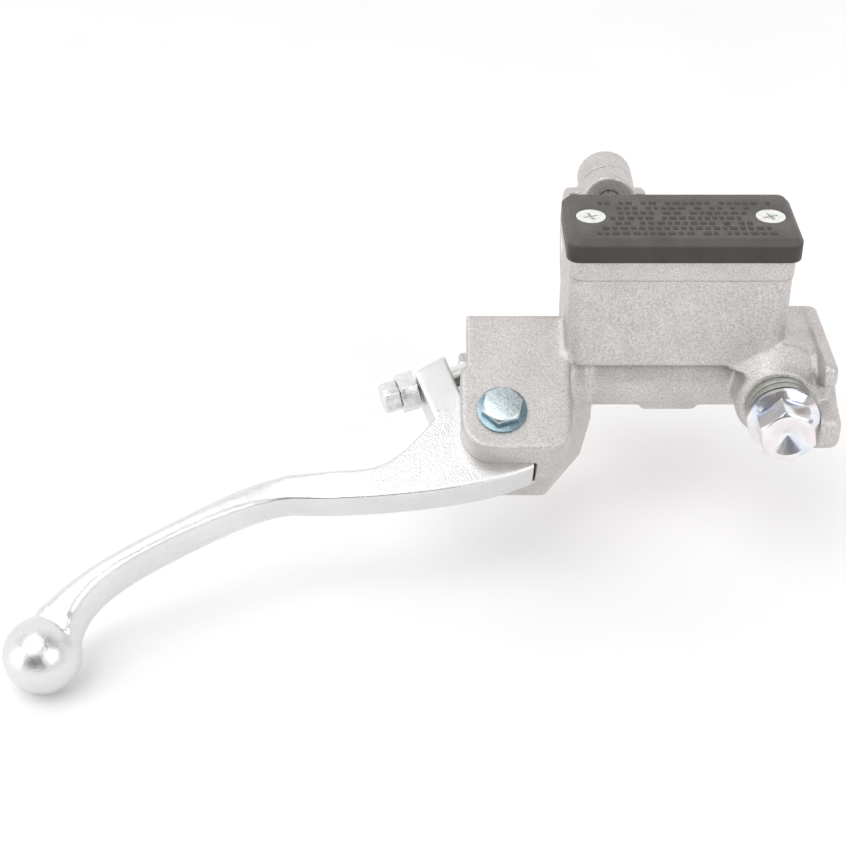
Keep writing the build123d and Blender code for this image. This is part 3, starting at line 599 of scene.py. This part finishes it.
def casting(cast, milled):
    """The body: the CAD solid with a casting's fillets and soft edges."""
    piece = welded_copy("body", "body_casting")
    remesh(piece, CAST_VOXEL)
    relax(piece, 3, 0.5)
    relax(piece, 34, 0.5, weight=lambda places: 1.0 - bores(places), fill=True)
    relax(piece, 2, 0.4)
    dress(piece, "cast_aluminium", cast, milled)
    paint_faces(piece, machined_places)
    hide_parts("body")
    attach(piece, "housing")
    return piece


def clamp(cast, milled):
    """The removable half of the handlebar clamp, cast like the body."""
    piece = welded_copy("clamp_half", "clamp_half_casting")
    remesh(piece, CAST_VOXEL)
    relax(piece, 3, 0.5)
    dress(piece, "cast_aluminium", cast, milled)
    paint_faces(piece, machined_places)
    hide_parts("clamp_half")
    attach(piece, "housing")
    return piece


# --- The lever ------------------------------------------------------------------------------


def ball_radius(piece):
    """The radius of the ball at the lever's tip, from how high its outermost points stand."""
    places = places_of(piece.data)
    tip = places[places[:, 0] < places[:, 0].min() + 12 * MM]
    return (tip[:, 2].max() - tip[:, 2].min()) / 2


def forged_lever(bright):
    """The lever: the CAD solid with its neck blended into the ball and its rims softened."""
    piece = welded_copy("lever", "lever_forging")
    remesh(piece, LEVER_VOXEL, LEVER_TILT)
    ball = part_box("lever")[0]
    radius = ball_radius(piece)
    knob = np.array(ball) + radius
    relax(piece, 2, 0.5)

    def neck(places):
        x = places[:, 0]
        start, full = ball.x + 32 * MM, ball.x + 24 * MM
        return np.clip((start - x) / (start - full), 0, 1)

    def blade(places):
        x = places[:, 0]
        start, full = ball.x + 84 * MM, ball.x + 50 * MM
        on_ball = np.linalg.norm(places - knob, axis=1) < radius + 0.25 * MM
        return (np.clip((start - x) / (start - full), 0, 1) * 0.97 + 0.03) * ~on_ball

    relax(piece, 70, 0.5, weight=neck, fill=True)
    relax(piece, 110, 0.5, weight=blade)
    dress(piece, "lever_aluminium", bright)
    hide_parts("lever")
    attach(piece, "lever")
    return piece


# --- The lid --------------------------------------------------------------------------------


def lid_marks(dark):
    """Rows of short raised dashes on the lid, where such a lid has its moulded notice."""
    low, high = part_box("reservoir_cap")
    dice = random.Random(7)
    rows, pitch, rise = 7, 2.95 * MM, 0.15 * MM
    left, right = low.x + 6.5 * MM, high.x - 5.5 * MM
    front = low.y + 4.6 * MM
    screws = solid_boxes("cap_screws")
    solid = bmesh.new()
    for row in range(rows):
        y = front + pitch * row
        x = left + dice.uniform(0, 4) * MM
        while x < right:
            end = x + dice.choice((1.1, 1.4, 1.4, 1.7, 2.0)) * MM
            clear = all(end < box[0][0] - 1.0 * MM or x > box[1][0] + 1.0 * MM
                        or abs(y - (box[0][1] + box[1][1]) / 2) > 5.3 * MM for box in screws)
            if clear and end < right:
                add_dash(solid, x, end, y, 1.55 * MM, high.z, rise)
            x = end + (0.75 if dice.random() < 0.8 else 2.4) * MM
    mesh = bpy.data.meshes.new("reservoir_cap_marks")
    solid.to_mesh(mesh)
    solid.free()
    piece = shown("reservoir_cap_marks", mesh)
    smooth_shading(piece)
    dress(piece, "cap_plastic", dark)
    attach(piece, "housing")
    return piece


def add_dash(solid, start, end, y, thick, top, rise):
    """One low bar with sloping sides."""
    half = thick / 2
    sink, slope = 0.05 * MM, 0.1 * MM
    rings = []
    for inset, height in ((0, -sink), (0, 0.3 * rise), (slope, rise)):
        corners = (
            (start + inset, y - half + inset),
            (end - inset, y - half + inset),
            (end - inset, y + half - inset),
            (start + inset, y + half - inset),
        )
        rings.append([solid.verts.new((cx, cy, top + height)) for cx, cy in corners])
    for lower, upper in zip(rings, rings[1:]):
        for index in range(4):
            after = (index + 1) % 4
            solid.faces.new((lower[index], lower[after], upper[after], upper[index]))
    solid.faces.new(rings[-1])
    solid.faces.new(rings[0][::-1])


# --- Soft and sprung pieces -----------------------------------------------------------------


def shorten(piece):
    """Gives a piece its own copy of its mesh."""
    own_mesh(piece)


def coil_spring(steel):
    """The piston's return spring, with closed ends."""
    low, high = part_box("return_spring")
    centre = (low + high) / 2
    wire = 0.5 * MM
    radius = (high.z - low.z) / 2 - wire
    start, end = low.x + wire * 0.2, high.x - wire * 0.2
    turns, closed, per_turn, sides = 9.5, 1.25, 40, 10
    count = int(turns * per_turn)
    solid = bmesh.new()
    loops = []
    length = end - start - 2 * wire
    tight_pitch = 2 * wire
    open_pitch = (length - 2 * tight_pitch * closed) / (turns - 2 * closed)
    for index in range(count + 1):
        turn = index / per_turn
        if turn < closed:
            along = turn * tight_pitch
        elif turn > turns - closed:
            along = length - (turns - turn) * tight_pitch
        else:
            along = tight_pitch * closed + open_pitch * (turn - closed)
        angle = 2 * math.pi * turn
        out = Vector((0, math.cos(angle), math.sin(angle)))
        middle = Vector((start + wire + along, centre.y, centre.z)) + out * radius
        loop = []
        for side in range(sides):
            spin = 2 * math.pi * side / sides
            offset = out * math.cos(spin) * wire + Vector((1, 0, 0)) * math.sin(spin) * wire
            loop.append(solid.verts.new(middle + offset))
        loops.append(loop)
    for one, two in zip(loops, loops[1:]):
        for side in range(sides):
            after = (side + 1) % sides
            solid.faces.new((one[side], one[after], two[after], two[side]))
    solid.faces.new(loops[0][::-1])
    solid.faces.new(loops[-1])
    bmesh.ops.recalc_face_normals(solid, faces=solid.faces)
    mesh = bpy.data.meshes.new("return_spring_coil")
    solid.to_mesh(mesh)
    solid.free()
    piece = shown("return_spring_coil", mesh)
    smooth_shading(piece, 60)
    dress(piece, "spring_steel", steel)
    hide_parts("return_spring")
    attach(piece, "housing")
    shorten(piece)
    return piece


def bellows(rubber):
    """The dust boot, from the CAD solid with smooth shading."""
    piece = welded_copy("dust_boot", "dust_boot_bellows")
    smooth_shading(piece, 50)
    dress(piece, "black_rubber", rubber)
    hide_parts("dust_boot")
    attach(piece, "housing")
    shorten(piece)
    return piece


# --- The stage ------------------------------------------------------------------------------


def place_camera():
    """A long lens, level from side to side, that looks down on the front of the part."""
    data = bpy.data.cameras.new("camera")
    data.sensor_width = 36.0
    data.lens = 74.47
    data.clip_start = 0.01
    camera = bpy.data.objects.new("camera", data)
    bpy.context.scene.collection.objects.link(camera)
    camera.location = (-0.0524, -0.4529, 0.2377)
    camera.rotation_euler = (math.radians(90 - 33.5), 0, 0)
    bpy.context.scene.camera = camera


def softbox(name, way, distance, size, power, aim=(-0.03, -0.04, -0.02)):
    """A square area light in a direction from the part, turned to face it."""
    data = bpy.data.lights.new(name, "AREA")
    data.shape = "SQUARE"
    data.size = size
    data.energy = power
    light = bpy.data.objects.new(name, data)
    bpy.context.scene.collection.objects.link(light)
    target = Vector(aim)
    light.location = target + Vector(way).normalized() * distance
    light.rotation_euler = (target - light.location).to_track_quat("-Z", "Y").to_euler()
    light.visible_camera = False


def light_stage():
    """A pale floor in a white room, with three soft boxes in the dark half behind the camera."""
    ground = (0, 0, CAD_BOX[0].z)
    bpy.ops.mesh.primitive_circle_add(vertices=96, radius=6.0, fill_type="NGON", location=ground)
    floor = bpy.context.active_object
    floor.name = "floor"
    floor.data.materials.append(floor_finish())
    softbox("key", (-0.32, -0.35, 0.88), 2.0, 1.65, 19.0)
    softbox("side", (-0.88, -0.44, 0.22), 2.0, 1.20, 8.0)
    softbox("front", (0.55, -0.67, 0.49), 2.0, 1.30, 12.5)
    world = bpy.data.worlds.new("studio")
    bpy.context.scene.world = world
    world.use_nodes = True
    tree = world.node_tree
    place = tree.nodes.new("ShaderNodeTexCoord").outputs["Generated"]
    toward = tree.nodes.new("ShaderNodeVectorMath")
    toward.operation = "DOT_PRODUCT"
    tree.links.new(place, toward.inputs[0])
    toward.inputs[1].default_value = (0.0, -0.86, 0.51)
    ramp = tree.nodes.new("ShaderNodeValToRGB")
    tree.links.new(toward.outputs["Value"], ramp.inputs["Fac"])
    stops = ((0.0, 1.10), (0.18, 1.0), (0.46, 0.44), (0.9, 0.24))
    band = ramp.color_ramp.elements
    while len(band) < len(stops):
        band.new(0.5)
    for element, (position, shade) in zip(band, stops):
        element.position = position
        element.color = (shade, shade * 0.985, shade * 0.98, 1)
    tree.links.new(ramp.outputs["Color"], tree.nodes["Background"].inputs["Color"])
    bpy.context.scene.view_settings.view_transform = "Standard"


# --- Putting it together --------------------------------------------------------------------


def main():
    """Builds the stage, then every visible piece, then dresses the CAD pieces that it keeps."""
    place_camera()
    light_stage()
    cast, milled = cast_aluminium(), machined_aluminium()
    bright = lever_aluminium()
    rubber = black_rubber()
    steel = plain_metal("spring_steel", (0.42, 0.42, 0.43), (0.55, 0.55, 0.56), 0.25, 0.4)
    grey_zinc = (0.93, 0.95, 0.94)
    blue_zinc = (0.86, 0.96, 1.0)
    bolt_top = ear_thickness() + PIVOT_FLATS
    casting(cast, milled)
    clamp(cast, milled)
    forged_lever(bright)
    lid_marks(mark_plastic())
    coil_spring(steel)
    bellows(rubber)

    adjuster_way = Vector(JOINTS["adjuster_travel"]["axis"])
    adjuster_centre = middle_of("adjuster_screw")
    pieces = (
        ("reservoir_cap", 0.4, "cap_plastic", cap_plastic(), "housing"),
        ("cap_screws", 0.12, "zinc_steel",
         zinc_steel("cap_screw_zinc", (0.98, 1.0, 0.98), (0, 0, 1), middle_of("cap_screws"), 0.4), "housing"),
        ("pivot_bolt", 0.2, "zinc_steel",
         zinc_steel("pivot_zinc", blue_zinc, LEVER_UP, PIVOT, 0.4, bolt_top), "housing"),
        ("pivot_nut", 0.2, "zinc_steel",
         zinc_steel("pivot_nut_zinc", blue_zinc, LEVER_UP, PIVOT, 0.4), "housing"),
        ("adjuster_screw", 0.25, "zinc_steel",
         zinc_steel("adjuster_zinc", grey_zinc, adjuster_way, adjuster_centre, 0.3), "adjuster"),
        ("adjuster_lock_nut", 0.22, "zinc_steel",
         zinc_steel("lock_nut_zinc", grey_zinc, adjuster_way, adjuster_centre, 0.35), "lever"),
        ("banjo_bolt", 0.2, "bright_zinc", bright_zinc(), "housing"),
        ("crush_washers", 0.15, "washer_metal", washer_metal(), "housing"),
        ("clamp_bolts", 0.2, "zinc_steel",
         zinc_steel("clamp_zinc", grey_zinc, (0, 1, 0), middle_of("clamp_bolts"), 0.35), "housing"),
    )
    for node, width, slot, material, body in pieces:
        piece = machined(node, f"{node}_finished", width)
        dress(piece, slot, material)
        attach(piece, body)

    anodised = plain_metal("piston_anodised", (0.50, 0.46, 0.34), (0.6, 0.56, 0.42), 0.3, 0.45)
    bronze = plain_metal("bronze", (0.50, 0.34, 0.17), (0.62, 0.44, 0.24), 0.35, 0.5)
    inner = {
        "diaphragm": ("black_rubber", rubber),
        "primary_cup": ("black_rubber", rubber),
        "secondary_cup": ("black_rubber", rubber),
        "sight_glass_seal": ("black_rubber", rubber),
        "sight_glass": ("window_glass", window_glass()),
        "port_shield": ("spring_steel", steel),
        "stop_washer": ("spring_steel", steel),
        "circlip": ("spring_steel", steel),
        "piston": ("piston_aluminium", anodised),
        "pivot_bush": ("bronze", bronze),
    }
    for node, (slot, material) in inner.items():
        dress(NODES[node], slot, material)


def ear_thickness():
    """How far the pivot bolt's head seat stands over the lever's middle plane, in millimetres."""
    heights, _ = lever_frame(places_of(NODES["pivot_bolt"].data))
    return heights.max() / MM - PIVOT_HEAD


main()
